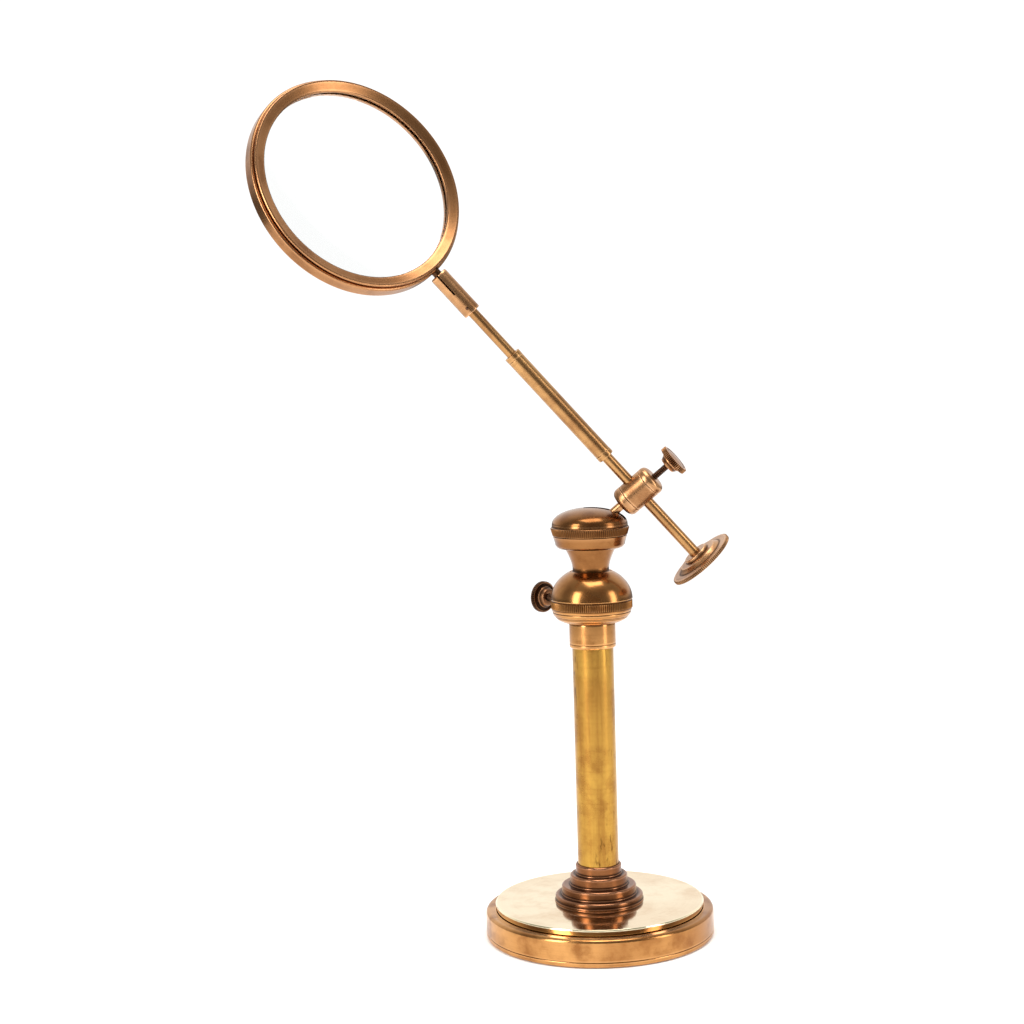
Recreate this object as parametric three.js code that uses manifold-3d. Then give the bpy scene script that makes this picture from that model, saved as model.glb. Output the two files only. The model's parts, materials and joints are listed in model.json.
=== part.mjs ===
// An antique brass stand magnifier: a weighted round foot, a column whose inner tube slides up
// and down, a ball joint under a slotted cap, and a counterweighted telescopic arm that carries
// a large lens in a screwed ring. Millimetres and degrees, +Z up, with the origin at the centre
// of the felt under the foot.
import * as THREE from 'three';
import { mergeVertices } from 'three/addons/utils/BufferGeometryUtils.js';
import Module from 'manifold-3d';

const wasm = await Module();
wasm.setup();

// ---- Pose at rest ----
const HEAD_AZIMUTH = -10; // direction of the cap's slot, about the column
const STEM_TILT = 50.3; // stem, from the vertical
const ARM_TWIST = 13; // arm, about the stem
const LENS_ROLL = -41; // lens frame, about the arm
const COLUMN_SCREW_AZIMUTH = 136;
const MAX_TILT = 61; // the slot stops the stem here
const TILT_MARGIN = 1.5;

// ---- Fits and facets ----
const GAP = 0.3; // between pieces that touch
const LARGE = 40; // facets round a large piece
const MEDIUM = 28;
const SMALL = 16;
const HOLE_MARGIN = 1; // how far a cutter runs past a face
const ON_AXIS = 1e-9; // a radius below this is on the axis

// ---- Foot ----
const BASE_RADIUS = 50;
const BASE_SIDE_TOP = 12.2;
const BASE_EDGE_RADIUS = 1.2;
const BASE_WALL_INNER = 46.5;
const RIM_LIFT = 0.2; // the brass rim stays clear of the table
const PLATE_RADIUS = 45.7;
const PLATE_FOOT_RADIUS = 45;
const PLATE_TOP = 15.2;
const SHELL_THICKNESS = 2.3;
const FELT_THICKNESS = 1.5;
const BOLT_RADIUS = 3.8;
const BOLT_HEAD_ACROSS_CORNERS = 14;
const BOLT_HEAD_BOTTOM = 2.2;
const BOLT_HEAD_TOP = 7.1;
const BOLT_TOP = 25;
const WASHER_RADIUS = 8;
const WASHER_THICKNESS = 0.8;

// ---- Column ----
const COLUMN_RADIUS = 9;
const COLUMN_BORE = 7.6;
const COLUMN_TOP = 138;
const COLLAR_TIERS = [
  // radius, height of the tier's top
  [19.5, 18.1],
  [16.7, 22.3],
  [12.9, 27],
  [10.3, 31.5],
];
const FERRULE_RADIUS = 10.1;
const FERRULE_BOTTOM = 127.3;
const SPIGOT_RADIUS = 7.3; // plugs and feet that fill the column's bore
const PLUG_TOP = 28;

// ---- Knop and inner tube ----
const KNOP_BOTTOM = 138.3;
const KNOP_BAND = [144.4, 147.7]; // knurled band, bottom and top
const KNOP_BAND_RADIUS = 17.7;
const DOME_BOTTOM = 148.3;
const DOME_RADIUS = 17.8;
const DOME_HEIGHT = 14.3; // of the whole ellipse; the mouth cuts it short
const KNOP_MOUTH_RADIUS = 9.2;
const KNOP_MOUTH_FLOOR = 158.6;
const TUBE_RADIUS = 6;
const TUBE_BORE = 4.6;
const TUBE_BOTTOM = 42;
const TUBE_TOP = 158.9;
const TUBE_FOOT_LENGTH = 4;
const TUBE_FOOT_PLUG = 6; // how far the foot plugs into the tube

// ---- Head: neck, socket and cap ----
const BALL_HEIGHT = 177.2;
const BALL_RADIUS = 7;
const NECK_BOTTOM = 159.2;
const NECK_BEAD_RADIUS = 8.75;
const NECK_WAIST_RADIUS = 7.9;
const NECK_WAIST_HEIGHT = 162;
const NECK_TOP_RADIUS = 10.9;
const BOWL_BOTTOM = 170.4;
const BOWL_RADIUS = 15.1;
const BOWL_RIM_RADIUS = 16;
const BOWL_MOUTH = 12.4;
const BOWL_FLOOR = 172.2;
const BOWL_TOP = 175.9;
const SEAT_TOP = 176.6; // leather ring under the ball
const CAP_SKIRT_TOP = 179.7;
const CAP_SKIRT_RADII = [16.1, 17.1];
const CAP_DOME_BOTTOM = 181.2;
const CAP_DOME_RADIUS = 16.4;
const CAP_DOME_HEIGHT = 7;
const SWIVEL_GROOVE_HEIGHT = 152;
const SWIVEL_GROOVE_RADIUS = 3.6;
const SWIVEL_SCREW_RADIUS = 0.9;
const SWIVEL_SCREW_AZIMUTH = -90;
const PIVOT_BOTTOM = 146; // of the neck's pivot inside the inner tube

// ---- Stem and clamp barrel ----
const STEM_RADIUS = 1.9;
const STEM_REACH = 27.9; // ball centre to the arm's axis
const BARREL_RADIUS = 6.6;
const BARREL_HALF_LENGTH = 9.4;
const BARREL_SHOULDER = 2.5;
const BALL_SOCKET_FLOOR = 1.6; // stem's hole in the ball, from its centre
const STEM_SOCKET_DEPTH = 3.6; // stem's hole in the barrel

// ---- Thumbscrews ----
const SCREW_RADIUS = 1.45;
const SCREW_HOLE_RADIUS = 1.85;
const PAD_RADIUS = 1.5;
const PAD_THICKNESS = 1.6;
const SCREW_HEAD_RADIUS = 6.9;
const SCREW_HEAD_THICKNESS = 2.3;
const SCREW_BOSS_RADII = [3.6, 4.7];
const SCREW_BOSS_HEIGHT = 2.6;
const SCREW_SOCKET_DEPTH = 2;
const SCREW_HEAD_DOME = 0.6;
const COLUMN_SCREW_HEIGHT = 147;
const COLUMN_SCREW_BOSS = 26.2; // from the column's axis to the boss
const ARM_SCREW_BOSS = 16.6; // from the arm's axis to the boss

// ---- Arm, measured along it from the stem's axis ----
const ARM_ROD_RADIUS = 2.4;
const SLEEVE_RADIUS = 3.7;
const SLEEVE_SPAN = [20.4, 80.1];
const ARM_ROD_END = 27;
const EXTENSION_RADIUS = 2.2;
const EXTENSION_SPAN = [52, 112];
const LENS_FERRULE_RADIUS = 3.9;
const LENS_FERRULE_SPAN = [104.6, 125.8];
const FERRULE_SOCKET_FLOOR = 115;
const FERRULE_SLOT_WIDTH = 0.8;
const FERRULE_PIN_RADIUS = 0.55;
const FERRULE_PIN_PLACE = 107.4;
const HUB_FACE = -36.8;
const HUB_SOCKET_DEPTH = 3.6;
const COUNTERWEIGHT_TIERS = [
  // radius at the arm side, radius at the far side, length
  [5.8, 5.8, 1.5],
  [9.4, 11.2, 1.7],
  [15.3, 15.3, 1.9],
];

// ---- Lens frame, measured from the lens's centre ----
const LENS_REACH = 175.8; // stem's axis to the lens's centre
const RING_RADIUS = 48.3;
const RING_BACK = -4.05;
const RING_FRONT = 2.1;
const BEZEL_RADIUS = 47.3;
const BEZEL_FRONT = 4.05;
const BEZEL_LIP = 0.9;
const APERTURE_RADIUS = 42.3;
const LENS_RADIUS = 44.6;
const LENS_EDGE = 0.9; // half the edge thickness
const LENS_SAGITTA = 3;
const SEAT_DEPTH = 1.6;
const STUD_RADIUS = 1.9;
const STUD_DEPTH = 2; // how far the stud enters the ring

// ---- Materials ----
function metal(colour, roughness) {
  return new THREE.MeshStandardMaterial({ color: colour, metalness: 1, roughness });
}

function dull(colour) {
  return new THREE.MeshStandardMaterial({ color: colour, metalness: 0, roughness: 0.9 });
}

const bronzedBrass = () => metal(0xb07a45, 0.3);
const yellowBrass = () => metal(0xc99a4e, 0.28);
const darkBrass = () => metal(0x3d2415, 0.45);
const bareSteel = () => metal(0x8d8f92, 0.4);
const castIron = () => metal(0x3b3b3c, 0.7);
const greenFelt = () => dull(0x2f4a35);
const tanLeather = () => dull(0x6b4426);
const clearGlass = () =>
  new THREE.MeshStandardMaterial({ color: 0xf2f7f7, roughness: 0.03, transparent: true, opacity: 0.25 });

// ---- Shape helpers ----
const radians = THREE.MathUtils.degToRad;

/** Points on an elliptical arc in the (radius, height) half-plane. */
function arc(centre, size, fromDegrees, toDegrees, steps) {
  const points = [];
  for (let i = 0; i <= steps; i += 1) {
    const angle = radians(fromDegrees + ((toDegrees - fromDegrees) * i) / steps);
    const radius = centre[0] + size[0] * Math.cos(angle);
    points.push([Math.abs(radius) < ON_AXIS ? 0 : radius, centre[1] + size[1] * Math.sin(angle)]);
  }
  return points;
}

/** Six times the signed volume of an indexed geometry: negative when its faces point inwards. */
function signedVolume(geometry) {
  const position = geometry.attributes.position;
  const corner = [0, 1, 2].map(() => new THREE.Vector3());
  let total = 0;
  for (let i = 0; i < geometry.index.count; i += 3) {
    corner.forEach((point, j) => point.fromBufferAttribute(position, geometry.index.getX(i + j)));
    total += corner[0].dot(corner[1].clone().cross(corner[2]));
  }
  return total;
}

/** Turns every face round when they point inwards. */
function facingOut(geometry) {
  if (signedVolume(geometry) < 0) {
    geometry.index.array.reverse();
  }
  return geometry;
}

/** A solid turned about Z from [radius, height] points; an outline off the axis closes on itself. */
function turned(outline, facets) {
  const last = outline[outline.length - 1];
  const closed = outline[0][0] === 0 && last[0] === 0 ? outline : [...outline, outline[0]];
  const points = closed.map(([radius, height]) => new THREE.Vector2(radius, height));
  const geometry = new THREE.LatheGeometry(points, facets);
  geometry.rotateX(Math.PI / 2);
  return facingOut(geometry);
}

/** A plain round bar about Z. */
function bar(radius, bottom, top, facets = SMALL) {
  return turned([[0, bottom], [radius, bottom], [radius, top], [0, top]], facets);
}

/** A plain round tube about Z. */
function pipe(radius, bore, bottom, top, facets = MEDIUM) {
  return turned([[bore, bottom], [radius, bottom], [radius, top], [bore, top]], facets);
}

/** A bar along the direction of an azimuth, at a height, between two distances from the Z axis. */
function radialBar(radius, azimuth, height, near, far) {
  const geometry = bar(radius, near, far);
  geometry.rotateY(Math.PI / 2);
  geometry.rotateZ(radians(azimuth));
  geometry.translate(0, 0, height);
  return geometry;
}

/** A geometry as a manifold-3d solid. */
function solidOf(geometry) {
  const bare = geometry.clone();
  bare.deleteAttribute('normal');
  bare.deleteAttribute('uv');
  const merged = mergeVertices(bare, 1e-4);
  const vertProperties = merged.attributes.position.array;
  const triVerts = new Uint32Array(merged.index.array);
  return new wasm.Manifold(new wasm.Mesh({ numProp: 3, vertProperties, triVerts }));
}

/** A manifold-3d solid as a geometry. */
function geometryOf(solid) {
  const mesh = solid.getMesh();
  const geometry = new THREE.BufferGeometry();
  geometry.setAttribute('position', new THREE.Float32BufferAttribute(mesh.vertProperties, 3));
  geometry.setIndex([...mesh.triVerts]);
  geometry.computeVertexNormals();
  return geometry;
}

/** The first geometry with all the others cut out of it. */
function cut(body, ...cutters) {
  const solid = cutters.reduce((left, cutter) => left.subtract(solidOf(cutter)), solidOf(body));
  return geometryOf(solid);
}

/** A named piece. */
function piece(name, geometry, material) {
  const mesh = new THREE.Mesh(geometry, material);
  mesh.name = name;
  return mesh;
}

// ---- Foot ----
function feltPad() {
  return piece('felt_pad', bar(BASE_WALL_INNER - GAP, 0, FELT_THICKNESS, LARGE), greenFelt());
}

const WEIGHT_STEP = BASE_SIDE_TOP - SHELL_THICKNESS - GAP;
const WEIGHT_TOP = PLATE_TOP - SHELL_THICKNESS - GAP;
const PLATE_INNER = PLATE_FOOT_RADIUS - SHELL_THICKNESS + GAP;
const BOLT_HOLE_RADIUS = BOLT_RADIUS + 2 * GAP;

function baseWeight() {
  const wide = BASE_WALL_INNER - GAP;
  const narrow = PLATE_INNER - GAP;
  const bottom = FELT_THICKNESS + GAP;
  const pocketTop = BOLT_HEAD_TOP + WASHER_THICKNESS + 2 * GAP;
  const pocketRadius = WASHER_RADIUS + 1;
  const outline = [
    [pocketRadius, bottom],
    [wide, bottom],
    [wide, WEIGHT_STEP],
    [narrow, WEIGHT_STEP],
    [narrow, WEIGHT_TOP],
    [BOLT_HOLE_RADIUS, WEIGHT_TOP],
    [BOLT_HOLE_RADIUS, pocketTop],
    [pocketRadius, pocketTop],
  ];
  return piece('base_weight', turned(outline, MEDIUM), castIron());
}

function baseShell() {
  const edge = BASE_EDGE_RADIUS;
  const roll = 1;
  const outline = [
    [BASE_WALL_INNER, RIM_LIFT],
    ...arc([BASE_RADIUS - edge, RIM_LIFT + edge], [edge, edge], -90, 0, 4),
    ...arc([BASE_RADIUS - roll, BASE_SIDE_TOP - roll], [roll, roll], 0, 90, 3),
    [PLATE_FOOT_RADIUS, BASE_SIDE_TOP],
    [PLATE_RADIUS, PLATE_TOP - GAP],
    [PLATE_RADIUS - GAP, PLATE_TOP],
    [BOLT_HOLE_RADIUS, PLATE_TOP],
    [BOLT_HOLE_RADIUS, PLATE_TOP - SHELL_THICKNESS],
    [PLATE_INNER, PLATE_TOP - SHELL_THICKNESS],
    [PLATE_INNER, BASE_SIDE_TOP - SHELL_THICKNESS],
    [BASE_WALL_INNER, BASE_SIDE_TOP - SHELL_THICKNESS],
  ];
  return piece('base_shell', turned(outline, LARGE), bronzedBrass());
}

function baseBolt() {
  const head = new THREE.CylinderGeometry(
    BOLT_HEAD_ACROSS_CORNERS / 2, BOLT_HEAD_ACROSS_CORNERS / 2, BOLT_HEAD_TOP - BOLT_HEAD_BOTTOM, 6,
  );
  head.rotateX(Math.PI / 2);
  head.translate(0, 0, (BOLT_HEAD_TOP + BOLT_HEAD_BOTTOM) / 2);
  const shank = bar(BOLT_RADIUS, BOLT_HEAD_TOP - HOLE_MARGIN, BOLT_TOP);
  return piece('base_bolt', geometryOf(solidOf(head).add(solidOf(shank))), bareSteel());
}

function boltWasher() {
  const bottom = BOLT_HEAD_TOP + GAP;
  const ring = pipe(WASHER_RADIUS, BOLT_HOLE_RADIUS, bottom, bottom + WASHER_THICKNESS, SMALL);
  return piece('bolt_washer', ring, bareSteel());
}

// ---- Column ----
function baseCollar() {
  const bore = COLUMN_RADIUS + GAP;
  const ease = 0.4;
  const outline = [[bore, PLATE_TOP + GAP]];
  let bottom = PLATE_TOP + GAP;
  for (const [radius, top] of COLLAR_TIERS) {
    outline.push([radius, bottom], [radius, top - ease], [radius - ease, top]);
    bottom = top;
  }
  outline.push([bore, bottom]);
  return piece('base_collar', turned(outline, MEDIUM), bronzedBrass());
}

function columnPlug() {
  const bottom = PLATE_TOP + 2 * GAP;
  const outline = [
    [0, BOLT_TOP + 1],
    [BOLT_HOLE_RADIUS, BOLT_TOP + 1],
    [BOLT_HOLE_RADIUS, bottom],
    [SPIGOT_RADIUS, bottom],
    [SPIGOT_RADIUS, PLUG_TOP],
    [0, PLUG_TOP],
  ];
  return piece('column_plug', turned(outline, SMALL), yellowBrass());
}

function columnTube() {
  const tube = pipe(COLUMN_RADIUS, COLUMN_BORE, PLATE_TOP + GAP, COLUMN_TOP);
  return piece('column_tube', tube, yellowBrass());
}

function columnFerrule() {
  const bore = COLUMN_RADIUS + GAP;
  const ease = 0.6;
  const outline = [
    [bore, FERRULE_BOTTOM],
    [FERRULE_RADIUS - ease, FERRULE_BOTTOM],
    [FERRULE_RADIUS, FERRULE_BOTTOM + ease],
    [FERRULE_RADIUS, COLUMN_TOP],
    [bore, COLUMN_TOP],
  ];
  return piece('column_ferrule', turned(outline, MEDIUM), bronzedBrass());
}

// ---- Knop and inner tube ----
function knop() {
  const bore = TUBE_RADIUS + GAP;
  const [bandBottom, bandTop] = KNOP_BAND;
  const groove = KNOP_BAND_RADIUS - 0.4;
  const cupFoot = FERRULE_RADIUS + 0.2;
  const mouthAngle = THREE.MathUtils.radToDeg(Math.acos(KNOP_MOUTH_RADIUS / DOME_RADIUS));
  const outline = [
    [bore, FERRULE_BOTTOM],
    [SPIGOT_RADIUS, FERRULE_BOTTOM],
    [SPIGOT_RADIUS, KNOP_BOTTOM],
    ...arc([cupFoot, bandBottom], [groove - cupFoot, bandBottom - KNOP_BOTTOM], -90, 0, 6),
    [KNOP_BAND_RADIUS, bandBottom + 0.2],
    [KNOP_BAND_RADIUS, bandTop],
    [groove, bandTop + 0.2],
    [groove, DOME_BOTTOM - 0.1],
    ...arc([0, DOME_BOTTOM], [DOME_RADIUS, DOME_HEIGHT], 0, mouthAngle, 8),
    [KNOP_MOUTH_RADIUS, KNOP_MOUTH_FLOOR],
    [bore, KNOP_MOUTH_FLOOR],
  ];
  const near = TUBE_RADIUS - HOLE_MARGIN;
  const far = DOME_RADIUS + HOLE_MARGIN;
  const screwHole = radialBar(SCREW_HOLE_RADIUS, COLUMN_SCREW_AZIMUTH, COLUMN_SCREW_HEIGHT, near, far);
  return piece('knop', cut(turned(outline, MEDIUM), screwHole), bronzedBrass());
}

function innerTube() {
  const tube = pipe(TUBE_RADIUS, TUBE_BORE, TUBE_BOTTOM, TUBE_TOP);
  const far = TUBE_RADIUS + HOLE_MARGIN;
  const screwHole = radialBar(SWIVEL_SCREW_RADIUS + GAP, SWIVEL_SCREW_AZIMUTH, SWIVEL_GROOVE_HEIGHT, 0, far);
  return piece('inner_tube', cut(tube, screwHole), yellowBrass());
}

function tubeFoot() {
  const plugRadius = TUBE_BORE - GAP;
  const shoulder = TUBE_BOTTOM - GAP;
  const outline = [
    [0, shoulder - TUBE_FOOT_LENGTH],
    [SPIGOT_RADIUS, shoulder - TUBE_FOOT_LENGTH],
    [SPIGOT_RADIUS, shoulder],
    [plugRadius, shoulder],
    [plugRadius, shoulder + TUBE_FOOT_PLUG],
    [0, shoulder + TUBE_FOOT_PLUG],
  ];
  return piece('tube_foot', turned(outline, SMALL), yellowBrass());
}

function swivelScrew() {
  const near = SWIVEL_GROOVE_RADIUS + GAP;
  const far = TUBE_RADIUS - 0.2;
  const screw = radialBar(SWIVEL_SCREW_RADIUS, SWIVEL_SCREW_AZIMUTH, SWIVEL_GROOVE_HEIGHT, near, far);
  return piece('swivel_screw', screw, bareSteel());
}

// ---- Head ----
/** The waisted neck's side, from the waist up to the bowl. */
function neckFlare(steps) {
  const points = [];
  for (let i = 0; i <= steps; i += 1) {
    const rise = i / steps;
    const radius = NECK_WAIST_RADIUS + (NECK_TOP_RADIUS - NECK_WAIST_RADIUS) * rise ** 1.5;
    points.push([radius, NECK_WAIST_HEIGHT + (BOWL_BOTTOM - NECK_WAIST_HEIGHT) * rise]);
  }
  return points;
}

function neckSocket() {
  const pivot = TUBE_BORE - 0.4;
  const grooveBottom = SWIVEL_GROOVE_HEIGHT - SWIVEL_SCREW_RADIUS - GAP;
  const grooveTop = SWIVEL_GROOVE_HEIGHT + SWIVEL_SCREW_RADIUS + GAP;
  const corner = 2.5;
  const well = 5.6; // room for the underside of the ball
  const outline = [
    [0, PIVOT_BOTTOM],
    [pivot, PIVOT_BOTTOM],
    [pivot, grooveBottom],
    [SWIVEL_GROOVE_RADIUS, grooveBottom],
    [SWIVEL_GROOVE_RADIUS, grooveTop],
    [pivot, grooveTop],
    [pivot, NECK_BOTTOM],
    [NECK_BEAD_RADIUS, NECK_BOTTOM],
    [NECK_BEAD_RADIUS, NECK_BOTTOM + 1.3],
    [NECK_WAIST_RADIUS, NECK_BOTTOM + 1.9],
    ...neckFlare(5),
    ...arc([BOWL_RADIUS - corner, BOWL_BOTTOM + corner], [corner, corner], -90, 0, 3),
    [BOWL_RIM_RADIUS, BOWL_TOP],
    [BOWL_MOUTH, BOWL_TOP],
    [BOWL_MOUTH, BOWL_FLOOR],
    [well, BOWL_FLOOR],
    [well, BALL_HEIGHT - BALL_RADIUS - 1],
    [0, BALL_HEIGHT - BALL_RADIUS - 1],
  ];
  return piece('neck_socket', turned(outline, MEDIUM), bronzedBrass());
}

function ballSeat() {
  const bottom = BOWL_FLOOR + GAP;
  const top = SEAT_TOP;
  const reach = BALL_RADIUS + GAP;
  const angleAt = (height) => THREE.MathUtils.radToDeg(Math.asin((height - BALL_HEIGHT) / reach));
  const outline = [
    [BOWL_MOUTH - GAP, bottom],
    [BOWL_MOUTH - GAP, top],
    ...arc([0, BALL_HEIGHT], [reach, reach], angleAt(top), angleAt(bottom), 4),
  ];
  return piece('ball_seat', turned(outline, MEDIUM), tanLeather());
}

/** The slot's outline in the vertical plane of the tilt, from the ball's centre. */
function slotCutter() {
  const halfWidth = STEM_RADIUS + 0.4;
  const beyond = 20;
  const lean = radians(MAX_TILT + TILT_MARGIN);
  const below = halfWidth + 0.1;
  const foot = new THREE.Vector2(below * Math.cos(lean), -below * Math.sin(lean));
  const rise = (beyond - foot.x) / Math.tan(lean);
  const outline = new THREE.Shape([
    new THREE.Vector2(-halfWidth, foot.y),
    foot,
    new THREE.Vector2(beyond, foot.y + rise),
    new THREE.Vector2(beyond, beyond),
    new THREE.Vector2(-halfWidth, beyond),
  ]);
  const cutter = new THREE.ExtrudeGeometry(outline, { depth: 2 * halfWidth, bevelEnabled: false });
  cutter.translate(0, 0, -halfWidth);
  cutter.rotateX(Math.PI / 2);
  return cutter;
}

function slottedCap() {
  const reach = BALL_RADIUS + GAP;
  const ledge = BALL_HEIGHT - GAP;
  const skirtBottom = BOWL_TOP + GAP;
  const seatAngle = THREE.MathUtils.radToDeg(Math.asin((ledge - BALL_HEIGHT) / reach));
  const outline = [
    ...arc([0, BALL_HEIGHT], [reach, reach], 90, seatAngle, 8),
    [BOWL_MOUTH, ledge],
    [BOWL_MOUTH, skirtBottom],
    [CAP_SKIRT_RADII[0], skirtBottom],
    [CAP_SKIRT_RADII[1], CAP_SKIRT_TOP],
    [CAP_DOME_RADIUS + 0.2, CAP_SKIRT_TOP + 0.4],
    [CAP_DOME_RADIUS + 0.2, CAP_DOME_BOTTOM - 0.4],
    ...arc([0, CAP_DOME_BOTTOM], [CAP_DOME_RADIUS, CAP_DOME_HEIGHT], 0, 90, 8),
  ];
  const cap = turned(outline, MEDIUM);
  cap.translate(0, 0, -BALL_HEIGHT);
  return piece('slotted_cap', cut(cap, slotCutter()), bronzedBrass());
}

// ---- Ball, stem and clamp barrel ----
function ball() {
  const sphere = turned(arc([0, 0], [BALL_RADIUS, BALL_RADIUS], -90, 90, 10), SMALL);
  const socket = bar(STEM_RADIUS + GAP, BALL_SOCKET_FLOOR, BALL_RADIUS + HOLE_MARGIN);
  return piece('ball', cut(sphere, socket), darkBrass());
}

function stem() {
  const bottom = BALL_SOCKET_FLOOR + GAP;
  const top = STEM_REACH - BARREL_HALF_LENGTH + STEM_SOCKET_DEPTH - GAP;
  return piece('stem', bar(STEM_RADIUS, bottom, top), bronzedBrass());
}

function clampBarrel() {
  const shoulder = [BARREL_SHOULDER, BARREL_SHOULDER];
  const side = BARREL_RADIUS - BARREL_SHOULDER;
  const end = BARREL_HALF_LENGTH - BARREL_SHOULDER;
  const outline = [
    [0, -BARREL_HALF_LENGTH],
    ...arc([side, -end], shoulder, -90, 0, 4),
    ...arc([side, end], shoulder, 0, 90, 4),
    [0, BARREL_HALF_LENGTH],
  ];
  const armHole = bar(ARM_ROD_RADIUS + 0.35, -BARREL_RADIUS - HOLE_MARGIN, BARREL_RADIUS + HOLE_MARGIN);
  armHole.rotateY(Math.PI / 2);
  const screwHole = bar(SCREW_HOLE_RADIUS, 0, BARREL_HALF_LENGTH + HOLE_MARGIN);
  const mouth = -BARREL_HALF_LENGTH;
  const stemHole = bar(STEM_RADIUS + GAP, mouth - HOLE_MARGIN, mouth + STEM_SOCKET_DEPTH);
  return piece('clamp_barrel', cut(turned(outline, MEDIUM), armHole, screwHole, stemHole), bronzedBrass());
}

// ---- Thumbscrews, standing on Z with the clamped rod or tube at the origin ----
function clampPad(name, rodRadius) {
  const tip = rodRadius + GAP;
  return piece(name, bar(PAD_RADIUS, tip, tip + PAD_THICKNESS), yellowBrass());
}

function screwShank(name, rodRadius, boss) {
  const tip = rodRadius + PAD_THICKNESS + 2 * GAP;
  return piece(name, bar(SCREW_RADIUS, tip, boss + SCREW_SOCKET_DEPTH), darkBrass());
}

function screwHead(name, boss, material) {
  const socket = SCREW_RADIUS + GAP;
  const socketFloor = boss + SCREW_SOCKET_DEPTH + GAP;
  const faceBottom = boss + SCREW_BOSS_HEIGHT;
  const faceTop = faceBottom + SCREW_HEAD_THICKNESS;
  const outline = [
    [0, socketFloor],
    [socket, socketFloor],
    [socket, boss],
    [SCREW_BOSS_RADII[0], boss],
    [SCREW_BOSS_RADII[1], faceBottom - 0.6],
    [SCREW_BOSS_RADII[1], faceBottom],
    [SCREW_HEAD_RADIUS, faceBottom],
    [SCREW_HEAD_RADIUS, faceTop],
    [SCREW_HEAD_RADIUS - 1.2, faceTop + SCREW_HEAD_DOME],
    [0, faceTop + SCREW_HEAD_DOME],
  ];
  return piece(name, turned(outline, MEDIUM), material);
}

// ---- Arm, along Z ----
function armRod() {
  return piece('arm_rod', bar(ARM_ROD_RADIUS, HUB_FACE - HUB_SOCKET_DEPTH + GAP, ARM_ROD_END), yellowBrass());
}

function armSleeve() {
  const [near, far] = SLEEVE_SPAN;
  const outline = [
    [ARM_ROD_RADIUS + GAP, near],
    [SLEEVE_RADIUS, near],
    [SLEEVE_RADIUS, far],
    [EXTENSION_RADIUS + GAP, far],
    [EXTENSION_RADIUS + GAP, ARM_ROD_END + GAP],
    [ARM_ROD_RADIUS + GAP, ARM_ROD_END + GAP],
  ];
  return piece('arm_sleeve', turned(outline, SMALL), yellowBrass());
}

function counterweight() {
  const bore = ARM_ROD_RADIUS + GAP;
  const outline = [
    [0, HUB_FACE - HUB_SOCKET_DEPTH],
    [bore, HUB_FACE - HUB_SOCKET_DEPTH],
    [bore, HUB_FACE],
  ];
  let near = HUB_FACE;
  for (const [nearRadius, farRadius, length] of COUNTERWEIGHT_TIERS) {
    outline.push([nearRadius, near], [farRadius, near - length]);
    near -= length;
  }
  outline.push([0, near]);
  return piece('counterweight', turned(outline, MEDIUM), bronzedBrass());
}

function extensionRod() {
  const [near, far] = EXTENSION_SPAN;
  return piece('extension_rod', bar(EXTENSION_RADIUS, near, far), yellowBrass());
}

/** The ferrule grips the extension rod at one end and, with its sawn slot, the lens stud at the other. */
function lensFerrule() {
  const [near, far] = LENS_FERRULE_SPAN;
  const solidTop = FERRULE_SOCKET_FLOOR;
  const rodSocket = bar(EXTENSION_RADIUS + GAP, near - HOLE_MARGIN, EXTENSION_SPAN[1] + GAP);
  const studSocket = bar(STUD_RADIUS + GAP, solidTop, far + HOLE_MARGIN);
  const slotDepth = far - solidTop + HOLE_MARGIN;
  const slot = new THREE.BoxGeometry(FERRULE_SLOT_WIDTH, LENS_FERRULE_RADIUS + HOLE_MARGIN, slotDepth);
  slot.translate(0, -(LENS_FERRULE_RADIUS + HOLE_MARGIN) / 2, solidTop + slotDepth / 2);
  const pinHole = radialBar(FERRULE_PIN_RADIUS + GAP, -90, FERRULE_PIN_PLACE, 0, LENS_FERRULE_RADIUS + 1);
  const sleeve = bar(LENS_FERRULE_RADIUS, near, far, MEDIUM);
  return piece('lens_ferrule', cut(sleeve, rodSocket, studSocket, slot, pinHole), bronzedBrass());
}

function ferrulePin() {
  const inner = EXTENSION_RADIUS + GAP;
  const outer = LENS_FERRULE_RADIUS + 0.15;
  return piece('ferrule_pin', radialBar(FERRULE_PIN_RADIUS, -90, FERRULE_PIN_PLACE, inner, outer), darkBrass());
}

// ---- Lens frame: the stud lies along the arm, the ring and lens about their own Z ----
function lensStud() {
  const tip = LENS_REACH - RING_RADIUS + STUD_DEPTH - GAP;
  return piece('lens_stud', bar(STUD_RADIUS, FERRULE_SOCKET_FLOOR + GAP, tip), darkBrass());
}

function lensRing() {
  const ease = 0.4;
  const thread = LENS_RADIUS + GAP;
  const outline = [
    [APERTURE_RADIUS, RING_BACK],
    [RING_RADIUS - ease, RING_BACK],
    [RING_RADIUS, RING_BACK + ease],
    [RING_RADIUS, RING_FRONT - ease],
    [RING_RADIUS - ease, RING_FRONT],
    [thread, RING_FRONT],
    [thread, -SEAT_DEPTH],
    [APERTURE_RADIUS, -SEAT_DEPTH],
  ];
  const studHole = bar(STUD_RADIUS + GAP, RING_RADIUS - STUD_DEPTH, RING_RADIUS + HOLE_MARGIN);
  studHole.rotateY(Math.PI / 2);
  return piece('lens_ring', cut(turned(outline, LARGE), studHole), bronzedBrass());
}

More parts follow.
